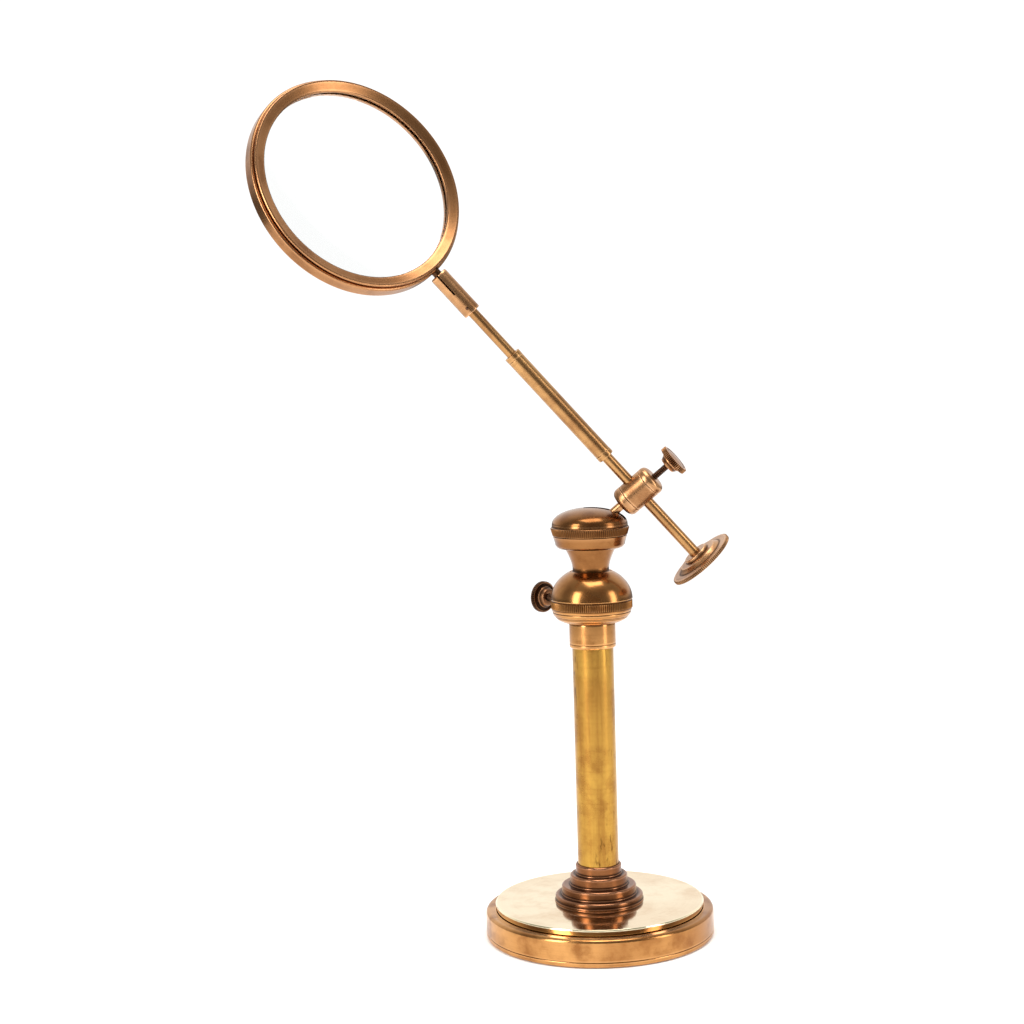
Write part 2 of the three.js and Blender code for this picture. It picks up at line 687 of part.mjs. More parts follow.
function lensBezel() {
  const flange = RING_FRONT + GAP;
  const outline = [
    [APERTURE_RADIUS, SEAT_DEPTH],
    [LENS_RADIUS, SEAT_DEPTH],
    [LENS_RADIUS, flange],
    [BEZEL_RADIUS, flange],
    [BEZEL_RADIUS, BEZEL_FRONT],
    [BEZEL_RADIUS - BEZEL_LIP, BEZEL_FRONT],
    [APERTURE_RADIUS, flange + 0.1],
  ];
  return piece('lens_bezel', turned(outline, LARGE), bronzedBrass());
}

/** One bulging face of the lens, as points from its rim to the axis or back. */
function lensFace(side, steps) {
  const curvature = (LENS_RADIUS ** 2 + LENS_SAGITTA ** 2) / (2 * LENS_SAGITTA);
  const points = [];
  for (let i = 0; i <= steps; i += 1) {
    const radius = LENS_RADIUS * (1 - i / steps);
    const drop = curvature - Math.sqrt(curvature ** 2 - radius ** 2);
    points.push([radius, side * (LENS_EDGE + LENS_SAGITTA - drop)]);
  }
  return side > 0 ? points : points.reverse();
}

function lens() {
  return piece('lens', turned([...lensFace(-1, 3), ...lensFace(1, 3)], LARGE), clearGlass());
}

// ---- Assembly ----
/** A group with its children, turned about one axis and moved along Z. */
function placed(children, { axis = 'z', degrees = 0, height = 0 } = {}) {
  const group = new THREE.Group();
  group.add(...children);
  group.rotation[axis] = radians(degrees);
  group.position.z = height;
  return group;
}

/** A thumbscrew's group, turned so that its axis points along an azimuth at a height. */
function sideways(children, azimuth, height) {
  return placed([placed(children, { axis: 'y', degrees: 90 })], { degrees: azimuth, height });
}

function lensFrame() {
  const disc = placed([placed([lensRing(), lensBezel(), lens()], { axis: 'y', degrees: 90 })], {
    degrees: LENS_ROLL,
    height: LENS_REACH,
  });
  return [lensStud(), disc];
}

function arm() {
  const pieces = [armRod(), armSleeve(), counterweight(), extensionRod(), lensFerrule(), ferrulePin()];
  return placed([...pieces, ...lensFrame()], { axis: 'y', degrees: -90, height: STEM_REACH });
}

function armScrew() {
  const pieces = [
    clampPad('arm_clamp_pad', ARM_ROD_RADIUS),
    screwShank('arm_screw_shank', ARM_ROD_RADIUS, ARM_SCREW_BOSS),
    screwHead('arm_screw_head', ARM_SCREW_BOSS, bronzedBrass()),
  ];
  return placed([clampBarrel(), ...pieces], { height: STEM_REACH });
}

function columnScrew() {
  const pieces = [
    clampPad('column_clamp_pad', TUBE_RADIUS),
    screwShank('column_screw_shank', TUBE_RADIUS, COLUMN_SCREW_BOSS),
    screwHead('column_screw_head', COLUMN_SCREW_BOSS, darkBrass()),
  ];
  return sideways(pieces, COLUMN_SCREW_AZIMUTH, COLUMN_SCREW_HEIGHT);
}

function head() {
  const twisted = placed([stem(), armScrew(), arm()], { degrees: ARM_TWIST });
  const tilted = placed([ball(), twisted], { axis: 'y', degrees: STEM_TILT });
  const socket = placed([slottedCap(), tilted], { degrees: HEAD_AZIMUTH, height: BALL_HEIGHT });
  return [neckSocket(), ballSeat(), socket];
}

const group = new THREE.Group();
group.add(feltPad(), baseWeight(), baseShell(), baseBolt(), boltWasher());
group.add(baseCollar(), columnPlug(), columnTube(), columnFerrule(), knop(), columnScrew());
group.add(innerTube(), tubeFoot(), swivelScrew(), ...head());

export default group;
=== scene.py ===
"""The looks of a brass stand magnifier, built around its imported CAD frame.

Outlines are in millimetres, as (distance from the axis, place along it), and every piece is
made in its own frame with the axis on Z, then set in place in the shared frame in metres.
"""

import json
import math

import bmesh
import bpy
from mathutils import Matrix, Vector

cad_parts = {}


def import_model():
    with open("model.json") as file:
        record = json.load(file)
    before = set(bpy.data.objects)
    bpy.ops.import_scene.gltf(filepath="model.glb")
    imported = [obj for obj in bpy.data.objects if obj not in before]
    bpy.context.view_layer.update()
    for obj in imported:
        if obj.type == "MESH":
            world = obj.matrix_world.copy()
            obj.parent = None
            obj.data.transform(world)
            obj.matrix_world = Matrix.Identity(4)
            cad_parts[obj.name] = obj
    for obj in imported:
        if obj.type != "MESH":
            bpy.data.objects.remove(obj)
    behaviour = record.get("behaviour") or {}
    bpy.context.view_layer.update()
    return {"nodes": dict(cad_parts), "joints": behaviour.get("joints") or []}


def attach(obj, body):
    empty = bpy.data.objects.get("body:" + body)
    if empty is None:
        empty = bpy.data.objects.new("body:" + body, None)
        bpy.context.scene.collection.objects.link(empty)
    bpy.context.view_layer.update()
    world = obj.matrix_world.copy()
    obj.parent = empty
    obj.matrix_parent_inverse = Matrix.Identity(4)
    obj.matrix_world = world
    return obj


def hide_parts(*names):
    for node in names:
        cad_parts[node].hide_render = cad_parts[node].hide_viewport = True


MM = 0.001

# ---- Camera ----
CAMERA_PLACE = (0.0, -0.8126, 0.2566)
CAMERA_YAW = math.radians(-2.36)
CAMERA_PITCH = math.radians(4.889)
CAMERA_ROLL = math.radians(-1.6815)
CAMERA_LENS = 66.2
CAMERA_SENSOR = 36.0

# ---- Shared dimensions, in millimetres ----
STEM_REACH = 27.9
LENS_REACH = 175.8
LENS_ROLL = math.radians(-41)
GAP = 0.3
EASE = 0.22
FALLOFF = 0.8
ROUND = 112
FINE = 160
PLATE_TOP = 15.2
FERRULE_RADIUS = 10.1
COLUMN_RADIUS = 9.0
INNER_TUBE_RADIUS = 6.0
COLUMN_TOP = 138.0
BALL_RADIUS = 7.0
ARM_ROD_RADIUS = 2.4
EXTENSION_RADIUS = 2.2
LENS_FERRULE_RADIUS = 3.9
STEM_RADIUS = 1.9
SCREW_RADIUS = 1.45
SCREW_PITCH = 0.8
SCREW_THREAD_DEPTH = 0.22
SCREW_HEAD_RADIUS = 6.9
SCREW_HEAD_TEETH = 50
COLUMN_SCREW_HEIGHT = 147.0
COLUMN_SCREW_BOSS = 26.2
ARM_SCREW_BOSS = 16.6
RING_RADIUS = 48.3
APERTURE_RADIUS = 42.3
LENS_RADIUS = 44.6
LENS_EDGE = 0.9
LENS_SAGITTA = 3.0
FLOOR_RADIUS = 1.0  # metres

# ---- Meshing ----
ON_AXIS = 1e-6
CORNER = math.radians(14)
SHARP_EDGE = math.radians(38)
CUTTER_EASE = 0.01

# ---- Grain of the brass, as noise scales per metre ----
FINE_LINE_SCALE = 2600
BROAD_LINE_SCALE = 900
PATCH_SCALE = 85
CLOUD_SCALE = 22
MOTTLE_SCALE = 1100
STREAK_SCALE = 330
SPECK_SCALE = 480
SPECK_ZONE_SCALE = 60

# ---- Lights: name, place in metres, width, height and power in watts ----
LIGHT_TARGET = (0, 0, 0.18)
LIGHT_COLOUR = (1.0, 0.98, 0.95)
SOFTBOXES = (
    ("key_left", (-0.75, -0.75, 0.45), 0.35, 0.9, 7),
    ("fill_right", (0.95, -0.45, 0.35), 0.3, 0.9, 4),
    ("top", (0.05, -0.1, 1.3), 0.7, 0.7, 8),
)
SURROUND_STRENGTH = 1.1

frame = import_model()
joints = {joint["name"]: joint for joint in frame["joints"]}


# ---- Frames ----
def frame_matrix(origin, x_axis, y_axis, z_axis):
    """A 4 x 4 matrix with these axes, at an origin in metres."""
    rows = Matrix((x_axis, y_axis, z_axis)).transposed().to_4x4()
    return Matrix.Translation(origin) @ rows


ball_centre = Vector(joints["ball_tilt"]["pos_m"])
tilt_axis = Vector(joints["ball_tilt"]["axis"]).normalized()
stem_axis = Vector(joints["stem_twist"]["axis"]).normalized()
arm_axis = Vector(joints["arm_slide"]["axis"]).normalized()
side_axis = arm_axis.cross(stem_axis)
barrel_centre = ball_centre + stem_axis * STEM_REACH * MM
lens_centre = barrel_centre + arm_axis * LENS_REACH * MM
lens_normal = math.cos(LENS_ROLL) * stem_axis + math.sin(LENS_ROLL) * side_axis
screw_axis = Vector(joints["column_screw_turn"]["axis"]).normalized()
up = Vector((0, 0, 1))

STAND = Matrix()
HEAD = frame_matrix(ball_centre, tilt_axis.cross(up), tilt_axis, up)
STEM = frame_matrix(ball_centre, -arm_axis, side_axis, stem_axis)
BARREL = frame_matrix(barrel_centre, -arm_axis, side_axis, stem_axis)
ARM = frame_matrix(barrel_centre, stem_axis, side_axis, arm_axis)
LENS = frame_matrix(lens_centre, -arm_axis, lens_normal.cross(-arm_axis), lens_normal)
screw_height = Vector((0, 0, COLUMN_SCREW_HEIGHT * MM))
SCREW = frame_matrix(screw_height, -up, up.cross(screw_axis), screw_axis)


# ---- Outlines ----
def arc(centre, size, start, end, steps):
    """Points on an elliptical arc, from one angle to another in degrees."""
    points = []
    for step in range(steps + 1):
        angle = math.radians(start + (end - start) * step / steps)
        points.append((centre[0] + size[0] * math.cos(angle), centre[1] + size[1] * math.sin(angle)))
    return points


def corner_turn(before, here, after):
    """How far the outline turns at a point: positive to the left, in radians."""
    first = Vector(here[:2]) - Vector(before[:2])
    second = Vector(after[:2]) - Vector(here[:2])
    cross = first.x * second.y - first.y * second.x
    return math.atan2(cross, first.dot(second))


def signed_area(outline):
    """Twice the area, positive when the outline runs anticlockwise."""
    total = 0.0
    for here, after in zip(outline, outline[1:] + outline[:1]):
        total += here[0] * after[1] - after[0] * here[1]
    return total


def eased(outline, ease):
    """The outline with its corners rounded, and whether it closes on itself off the axis.

    Each point becomes (radius, height, toothed, crevice, edge): crevice is 1 in an inner corner
    and edge is 1 on an outer one, and both fade out over a short way along the flats.
    """
    hand = math.copysign(1.0, signed_area(outline))
    count = len(outline)
    closed = outline[0][0] > ON_AXIS or outline[-1][0] > ON_AXIS
    result = []
    for index, here in enumerate(outline):
        toothed = len(here) > 2 and here[2]
        before = outline[index - 1]
        after = outline[(index + 1) % count]
        ends = not closed and index in (0, count - 1)
        turn = 0.0 if ends else corner_turn(before, here, after) * hand
        if abs(turn) < CORNER:
            result.append((here[0], here[1], toothed, 0.0, 0.0))
            continue
        crevice, edge = (0.0, 1.0) if turn > 0 else (1.0, 0.0)
        place = Vector(here[:2])
        backward = Vector(before[:2]) - place
        forward = Vector(after[:2]) - place
        cut_in = min(ease, 0.4 * backward.length)
        cut_out = min(ease, 0.4 * forward.length)
        start = place + backward.normalized() * cut_in
        end = place + forward.normalized() * cut_out
        if backward.length > 2.5 * FALLOFF:
            far = place + backward.normalized() * FALLOFF
            result.append((far.x, far.y, toothed, 0.0, 0.0))
        for t in (0.0, 0.33, 0.67, 1.0):
            spot = start * (1 - t) ** 2 + place * 2 * t * (1 - t) + end * t**2
            result.append((max(spot.x, 0.0), spot.y, toothed, crevice, edge))
        if forward.length > 2.5 * FALLOFF:
            far = place + forward.normalized() * FALLOFF
            result.append((far.x, far.y, toothed, 0.0, 0.0))
    return result, closed


def tooth_depth(step):
    """The depth of a tooth at each of its four steps, from 0 at the tip to 1 at the root."""
    return (0.0, 0.55, 1.0, 0.55)[step % 4]


def turned_mesh(name, outline, facets, ease, teeth, depth):
    """A mesh turned about Z from an outline, with teeth along its toothed points."""
    points, closed = eased(outline, ease)
    around = teeth * 4 if teeth else facets
    verts, rings, crevices, edges = [], [], [], []
    for radius, height, toothed, crevice, edge in points:
        spots = 1 if radius < ON_AXIS else around
        rings.append((len(verts), spots))
        for step in range(spots):
            angle = 2 * math.pi * step / around
            cut_back = depth * tooth_depth(step) if toothed and teeth else 0.0
            reach = (radius - cut_back) * MM
            verts.append((reach * math.cos(angle), reach * math.sin(angle), height * MM))
            # Painted shade: the roots of the knurl teeth get a high crevice value, which darkens their
            # colour.
            shade = 0.45 + 0.55 * tooth_depth(step) if toothed and teeth else 0.0
            crevices.append(max(crevice, shade))
            edges.append(edge)
    faces = []
    pairs = list(zip(rings, rings[1:] + (rings[:1] if closed else [])))
    for (low, low_spots), (high, high_spots) in pairs:
        for step in range(around):
            after = (step + 1) % around
            if low_spots == 1 and high_spots == 1:
                continue
            if low_spots == 1:
                faces.append((low, high + step, high + after))
            elif high_spots == 1:
                faces.append((low + step, high, low + after))
            else:
                faces.append((low + step, low + after, high + after, high + step))
    return shaded_mesh(name, verts, faces, crevices, edges)


def shaded_mesh(name, verts, faces, crevices, edges):
    """A mesh that carries its crevices and edges as attributes."""
    mesh = bpy.data.meshes.new(name)
    mesh.from_pydata(verts, [], faces)
    for label, values in (("crevice", crevices), ("edge", edges)):
        layer = mesh.attributes.new(label, "FLOAT", "POINT")
        layer.data.foreach_set("value", values)
    tidy_normals(mesh)
    return mesh


def tidy_normals(mesh):
    """Faces outwards, smooth except over sharp corners."""
    work = bmesh.new()
    work.from_mesh(mesh)
    bmesh.ops.recalc_face_normals(work, faces=work.faces)
    work.to_mesh(mesh)
    work.free()
    mesh.shade_smooth()
    mesh.set_sharp_from_angle(angle=SHARP_EDGE)


def make(name, mesh, place):
    """An object with a mesh, set in a frame."""
    piece = bpy.data.objects.new(name, mesh)
    bpy.context.scene.collection.objects.link(piece)
    piece.matrix_world = place
    return piece


def turned(name, outline, place, facets=ROUND, ease=EASE, teeth=0, depth=0.3):
    return make(name, turned_mesh(name, outline, facets, ease, teeth, depth), place)


def round_bar(radius, bottom, top):
    return [(0, bottom), (radius, bottom), (radius, top), (0, top)]


def drill(name, radius, bottom, top, place, facets):
    """A cutter for a round hole along a frame's axis."""
    return turned(name, round_bar(radius, bottom, top), place, facets, CUTTER_EASE)


def box_between(name, low, high, place):
    """A box between two corners in millimetres."""
    mesh = bpy.data.meshes.new(name)
    work = bmesh.new()
    bmesh.ops.create_cube(work, size=1.0)
    for vert in work.verts:
        for axis in range(3):
            middle = (low[axis] + high[axis]) / 2
            vert.co[axis] = (middle + vert.co[axis] * (high[axis] - low[axis])) * MM
    work.to_mesh(mesh)
    work.free()
    return make(name, mesh, place)


def cut(piece, *cutters):
    """The piece with the cutters taken out of it. The cutters are deleted."""
    for cutter in cutters:
        step = piece.modifiers.new("cut", "BOOLEAN")
        step.operation = "DIFFERENCE"
        step.solver = "EXACT"
        step.object = cutter
    bpy.context.view_layer.update()
    evaluated = piece.evaluated_get(bpy.context.evaluated_depsgraph_get())
    mesh = bpy.data.meshes.new_from_object(evaluated)
    piece.modifiers.clear()
    old = piece.data
    piece.data = mesh
    mesh.name = piece.name
    bpy.data.meshes.remove(old)
    for cutter in cutters:
        bpy.data.objects.remove(cutter)
    mesh.shade_smooth()
    mesh.set_sharp_from_angle(angle=SHARP_EDGE)
    return piece


def settle(piece):
    """Moves a piece's frame into its mesh, so that its box is tight.

    The coordinates that it was made in stay with it as own_place, for the materials.
    """
    mesh = piece.data
    own = mesh.attributes.new("own_place", "FLOAT_VECTOR", "POINT")
    own.data.foreach_set("vector", [number for vert in mesh.vertices for number in vert.co])
    mesh.transform(piece.matrix_world)
    piece.matrix_world = Matrix()


def finish_piece(piece, body, slot, material, *nodes):
    """Gives a piece its material and its body, and hides the CAD nodes that it stands for. The slot is
    not used.
    """
    settle(piece)
    piece.data.materials.clear()
    piece.data.materials.append(material)
    smoother = piece.modifiers.new("weighted", "WEIGHTED_NORMAL")
    smoother.keep_sharp = True
    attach(piece, body)
    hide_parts(*nodes)
    return piece


# ---- Materials ----
RAMP_INPUTS = ("From Min", "From Max", "To Min", "To Max")


class Nodes:
    """A short way to build one material's nodes."""

    def __init__(self, name):
        self.material = bpy.data.materials.new(name)
        self.material.use_nodes = True
        self.tree = self.material.node_tree
        self.shader = self.tree.nodes["Principled BSDF"]

    def add(self, kind, **settings):
        node = self.tree.nodes.new(kind)
        for key, value in settings.items():
            setattr(node, key, value)
        return node

    def link(self, source, target):
        self.tree.links.new(source, target)

    def math(self, operation, first, second=None):
        node = self.add("ShaderNodeMath", operation=operation)
        for place, value in enumerate((first, second)):
            if value is None:
                continue
            if isinstance(value, (int, float)):
                node.inputs[place].default_value = value
            else:
                self.link(value, node.inputs[place])
        return node.outputs[0]

    def span(self, value, low, high, start=0.0, end=1.0):
        """A value's range low to high, remapped smoothly to start to end."""
        node = self.add("ShaderNodeMapRange", interpolation_type="SMOOTHSTEP")
        self.link(value, node.inputs["Value"])
        for label, number in zip(RAMP_INPUTS, (low, high, start, end)):
            node.inputs[label].default_value = number
        return node.outputs["Result"]

    def noise(self, vector, scale, detail=3.0, roughness=0.5):
        node = self.add("ShaderNodeTexNoise")
        self.link(vector, node.inputs["Vector"])
        node.inputs["Scale"].default_value = scale
        node.inputs["Detail"].default_value = detail
        node.inputs["Roughness"].default_value = roughness
        return node.outputs["Fac"]

    def mix(self, factor, first, second):
        node = self.add("ShaderNodeMix", data_type="RGBA")
        if isinstance(factor, (int, float)):
            node.inputs["Factor"].default_value = factor
        else:
            self.link(factor, node.inputs["Factor"])
        for socket, value in ((node.inputs[6], first), (node.inputs[7], second)):
            if isinstance(value, tuple):
                socket.default_value = (*value, 1.0)
            else:
                self.link(value, socket)
        return node.outputs[2]

    def attribute(self, name, output="Fac"):
        return self.add("ShaderNodeAttribute", attribute_name=name).outputs[output]

    def stretched(self, vector, scale):
        node = self.add("ShaderNodeMapping")
        self.link(vector, node.inputs["Vector"])
        node.inputs["Scale"].default_value = scale
        return node.outputs["Vector"]


def turned_lines(nodes, place):
    """Coordinates that change with radius and height but not round the axis."""
    split = nodes.add("ShaderNodeSeparateXYZ")
    nodes.link(place, split.inputs[0])
    x, y, z = split.outputs
    squares = nodes.math("ADD", nodes.math("MULTIPLY", x, x), nodes.math("MULTIPLY", y, y))
    radius = nodes.math("SQRT", squares)
    join = nodes.add("ShaderNodeCombineXYZ")
    nodes.link(radius, join.inputs[0])
    nodes.link(z, join.inputs[2])
    return join.outputs[0]


def brass(
    name, colour, tarnish, patina=0.5, roughness=0.2, lines=0.25, specks=0.0, streaks=0.0, wear=0.5
):
    """Aged brass: turning lines, patchy tarnish, painted shade with grime in the corners, and bright
    worn edges.
    """
    nodes = Nodes(name)
    place = nodes.attribute("own_place", "Vector")
    rings = turned_lines(nodes, place)
    fine_lines = nodes.noise(rings, FINE_LINE_SCALE, 2.0)
    broad_lines = nodes.noise(rings, BROAD_LINE_SCALE, 3.0)
    patches = nodes.noise(place, PATCH_SCALE, 7.0, 0.62)
    clouds = nodes.noise(place, CLOUD_SCALE, 3.0)
    mottle = nodes.noise(place, MOTTLE_SCALE, 4.0, 0.7)
    deep = tuple(channel * 0.32 for channel in tarnish)
    pale = tuple(min(1.0, channel * 1.18 + 0.03) for channel in colour)

    stain = nodes.span(patches, 0.42, 0.7, 0.0, patina)
    base = nodes.mix(stain, colour, tarnish)
    base = nodes.mix(nodes.span(clouds, 0.38, 0.62, 0.0, 0.7 * patina), base, tarnish)
    if streaks:
        drawn = nodes.stretched(place, (1.0, 1.0, 0.05))
        drawn_lines = nodes.noise(drawn, STREAK_SCALE, 4.0, 0.6)
        base = nodes.mix(nodes.span(drawn_lines, 0.42, 0.75, 0.0, streaks), base, tarnish)
    base = nodes.mix(nodes.span(mottle, 0.55, 0.85, 0.0, 0.35 * patina), base, tarnish)
    base = nodes.mix(nodes.span(broad_lines, 0.45, 0.8, 0.0, lines), base, tarnish)
    if specks:
        drawn = nodes.stretched(place, (1.0, 1.0, 0.22))
        spots = nodes.noise(drawn, SPECK_SCALE, 5.0, 0.75)
        zone = nodes.span(nodes.noise(drawn, SPECK_ZONE_SCALE, 2.0), 0.42, 0.58)
        spotted = nodes.math("MULTIPLY", nodes.span(spots, 0.54, 0.64, 0.0, specks), zone)
        base = nodes.mix(spotted, base, deep)
    edge = nodes.math("MULTIPLY", nodes.attribute("edge"), nodes.span(mottle, 0.2, 0.6, 0.4, wear))
    base = nodes.mix(edge, base, pale)
    # Painted shade: inner corners, knurl roots and thread roots are darkened towards the deep tarnish
    # colour, mixed with grime.
    shade_and_grime = nodes.math("MULTIPLY", nodes.attribute("crevice"), nodes.span(patches, 0.2, 0.6, 0.75, 0.95))
    base = nodes.mix(shade_and_grime, base, deep)
    nodes.link(base, nodes.shader.inputs["Base Color"])

    dull = nodes.span(patches, 0.4, 0.8, roughness, roughness + 0.16 * patina)
    dull = nodes.math("ADD", dull, nodes.math("MULTIPLY", fine_lines, 0.07))
    dull = nodes.math("ADD", dull, nodes.math("MULTIPLY", nodes.attribute("crevice"), 0.2))
    nodes.link(dull, nodes.shader.inputs["Roughness"])
    nodes.shader.inputs["Metallic"].default_value = 1.0

    bump = nodes.add("ShaderNodeBump")
    bump.inputs["Strength"].default_value = 0.03
    bump.inputs["Distance"].default_value = 0.00004
    nodes.link(broad_lines, bump.inputs["Height"])
    nodes.link(bump.outputs[0], nodes.shader.inputs["Normal"])
    return nodes.material


def rough_stuff(name, colour, shade, scale, roughness, depth, metallic=0.0):
    """Felt, leather, iron, steel or hidden brass: two tones and a bump of one grain size."""
    nodes = Nodes(name)
    place = nodes.add("ShaderNodeTexCoord").outputs["Object"]
    grain = nodes.noise(place, scale, 6.0, 0.7)
    broad = nodes.noise(place, scale / 12, 3.0)
    base = nodes.mix(nodes.span(grain, 0.35, 0.7), shade, colour)
    base = nodes.mix(nodes.span(broad, 0.4, 0.7, 0.0, 0.4), base, shade)
    nodes.link(base, nodes.shader.inputs["Base Color"])
    dull = nodes.span(grain, 0.2, 0.8, roughness, min(1.0, roughness + 0.15))
    nodes.link(dull, nodes.shader.inputs["Roughness"])
    nodes.shader.inputs["Metallic"].default_value = metallic
    bump = nodes.add("ShaderNodeBump")
    bump.inputs["Strength"].default_value = 0.5
    bump.inputs["Distance"].default_value = depth
    nodes.link(grain, bump.inputs["Height"])
    nodes.link(bump.outputs[0], nodes.shader.inputs["Normal"])
    return nodes.material


def optical_glass():
    """Clear glass with the faintest haze of handling."""
    nodes = Nodes("optical_glass")
    place = nodes.add("ShaderNodeTexCoord").outputs["Object"]
    haze = nodes.noise(place, 60, 4.0)
    nodes.link(nodes.span(haze, 0.5, 0.8, 0.0, 0.02), nodes.shader.inputs["Roughness"])
    nodes.shader.inputs["Base Color"].default_value = (0.985, 0.995, 0.99, 1.0)
    nodes.shader.inputs["Transmission Weight"].default_value = 1.0
    nodes.shader.inputs["IOR"].default_value = 1.52
    return nodes.material


HEAD_BRASS = brass(
    "head_brass",
    colour=(0.38, 0.175, 0.06),
    tarnish=(0.16, 0.058, 0.017),
    patina=0.8,
    roughness=0.16,
)
BRONZED = brass(
    "bronzed_brass",
    colour=(0.59, 0.295, 0.1),
    tarnish=(0.23, 0.082, 0.022),
    patina=0.8,
    roughness=0.16,
)
RIM = brass(
    "ring_brass",
    colour=(0.41, 0.195, 0.08),
    tarnish=(0.17, 0.066, 0.022),
    patina=0.6,
    roughness=0.2,
    lines=0.15,
)
BRUSHED = brass(
    "brushed_brass",
    colour=(0.55, 0.3, 0.14),
    tarnish=(0.22, 0.09, 0.034),
    patina=0.65,
    roughness=0.27,
    wear=0.8,
)
KNOB = brass(
    "knob_brass",
    colour=(0.42, 0.2, 0.08),
    tarnish=(0.14, 0.05, 0.018),
    patina=0.6,
    roughness=0.2,
    wear=0.9,
)
COPPERY = brass(
    "collar_brass",
    colour=(0.24, 0.095, 0.036),
    tarnish=(0.08, 0.025, 0.01),
    patina=0.6,
    roughness=0.17,
    wear=1.0,
)
YELLOW = brass(
    "column_brass",
    colour=(0.5, 0.28, 0.055),
    tarnish=(0.23, 0.085, 0.018),
    patina=0.55,
    roughness=0.2,
    specks=1.0,
    streaks=0.55,
)
ROD = brass(
    "rod_brass",
    colour=(0.51, 0.28, 0.11),
    tarnish=(0.2, 0.077, 0.028),
    patina=0.55,
    roughness=0.25,
    specks=0.25,
    streaks=0.4,
)
PLATE = brass(
    "plate_brass",
    colour=(0.93, 0.78, 0.54),
    tarnish=(0.6, 0.33, 0.13),
    patina=0.3,
    roughness=0.06,
    lines=0.08,
)
DARK_KNOB = brass(
    "dark_knob_brass",
    colour=(0.25, 0.115, 0.05),
    tarnish=(0.07, 0.028, 0.013),
    patina=0.5,
    roughness=0.27,
)
DARK = brass(
    "dark_brass",
    colour=(0.1, 0.045, 0.022),
    tarnish=(0.025, 0.011, 0.006),
    patina=0.5,
    roughness=0.3,
    wear=0.8,
)
STEEL = rough_stuff("bare_steel", (0.5, 0.5, 0.5), (0.3, 0.3, 0.31), 900, 0.35, 0.00003, metallic=1.0)
PLAIN = rough_stuff(
    "plain_brass", (0.62, 0.38, 0.12), (0.4, 0.22, 0.07), 900, 0.3, 0.00003, metallic=1.0
)
IRON = rough_stuff("cast_iron", (0.09, 0.09, 0.09), (0.04, 0.04, 0.042), 700, 0.6, 0.0002, metallic=1.0)
FELT = rough_stuff("green_felt", (0.05, 0.12, 0.06), (0.02, 0.06, 0.03), 1600, 0.85, 0.0004)
LEATHER = rough_stuff("tan_leather", (0.22, 0.1, 0.04), (0.1, 0.04, 0.018), 1300, 0.55, 0.0002)
GLASS = optical_glass()


# ---- Foot ----
def foot_side():
    """The spun side wall, with a bead near its foot and a rolled top edge."""
    outline = [
        (46.5, 0.2),
        *arc((48.9, 1.3), (1.1, 1.1), -90, 0, 6),
        (50.0, 2.3),
        (49.82, 2.55),
        (50.0, 2.8),
        *arc((48.4, 10.6), (1.6, 1.6), 0, 90, 8),
        (45.6, 12.2),
        (45.0, 11.7),
        (44.2, 11.7),
        (44.2, 9.9),
        (46.5, 9.9),
    ]
    piece = turned("foot_side", outline, STAND, facets=FINE, ease=0.15)
    return finish_piece(piece, "stand", "bronzed_brass", BRONZED, "base_shell")


def foot_plate():
    """The polished top plate, stepped up from the side and undercut at its foot."""
    outline = [
        (44.0, 11.9),
        (45.0, 12.1),
        (45.35, 12.6),
        (45.7, 14.7),
        (45.4, PLATE_TOP),
        (4.4, PLATE_TOP),
        (4.4, 12.9),
        (43.0, 12.9),
    ]
    piece = turned("foot_plate", outline, STAND, facets=FINE, ease=0.15)
    return finish_piece(piece, "stand", "yellow_brass", PLATE, "base_shell")


def foot_inside():
    """The pieces under the shell, which keep their CAD shapes."""
    hidden = {
        "felt_pad": FELT,
        "base_weight": IRON,
        "base_bolt": STEEL,
        "bolt_washer": STEEL,
        "column_plug": PLAIN,
        "tube_foot": PLAIN,
        "swivel_screw": STEEL,
        "ball_seat": LEATHER,
    }
    for node, material in hidden.items():
        mesh = frame["nodes"][node].data
        mesh.materials.clear()
        mesh.materials.append(material)


# ---- Column ----
COLLAR_TIERS = (
    # radius at the foot, radius under the shelf, height of the shelf
    (19.5, 19.2, 18.1),
    (16.7, 16.3, 22.3),
    (12.9, 12.5, 27.0),
    (10.3, 10.1, 31.5),
)


def collar():
    """Four turned tiers, each with a small bead on its shelf."""
    bore = 9.15
    outline = [(bore, PLATE_TOP + 0.05)]
    bottom = PLATE_TOP + 0.05
    for foot, shoulder, top in COLLAR_TIERS:
        outline += [
            (foot, bottom),
            (foot, bottom + 0.5),
            (foot - 0.25, bottom + 0.75),
            (shoulder, top - 0.5),
            (shoulder - 0.5, top),
        ]
        bottom = top
    outline.append((bore, bottom))
    piece = turned("collar", outline, STAND, ease=0.18)
    return finish_piece(piece, "stand", "bronzed_brass", COPPERY, "base_collar")


def column():
    outline = [(7.6, 15.5), (COLUMN_RADIUS, 15.5), (COLUMN_RADIUS, COLUMN_TOP), (7.6, COLUMN_TOP)]
    piece = turned("column", outline, STAND)
    return finish_piece(piece, "stand", "yellow_brass", YELLOW, "column_tube")


def ferrule():
    outline = [
        (9.05, 127.3),
        (9.7, 127.3),
        (FERRULE_RADIUS, 127.8),
        (FERRULE_RADIUS, 128.9),
        (9.9, 129.05),
        (FERRULE_RADIUS, 129.2),
        (FERRULE_RADIUS, COLUMN_TOP),
        (9.05, COLUMN_TOP),
    ]
    piece = turned("column_ring", outline, STAND, ease=0.15)
    return finish_piece(piece, "stand", "bronzed_brass", BRONZED, "column_ferrule")


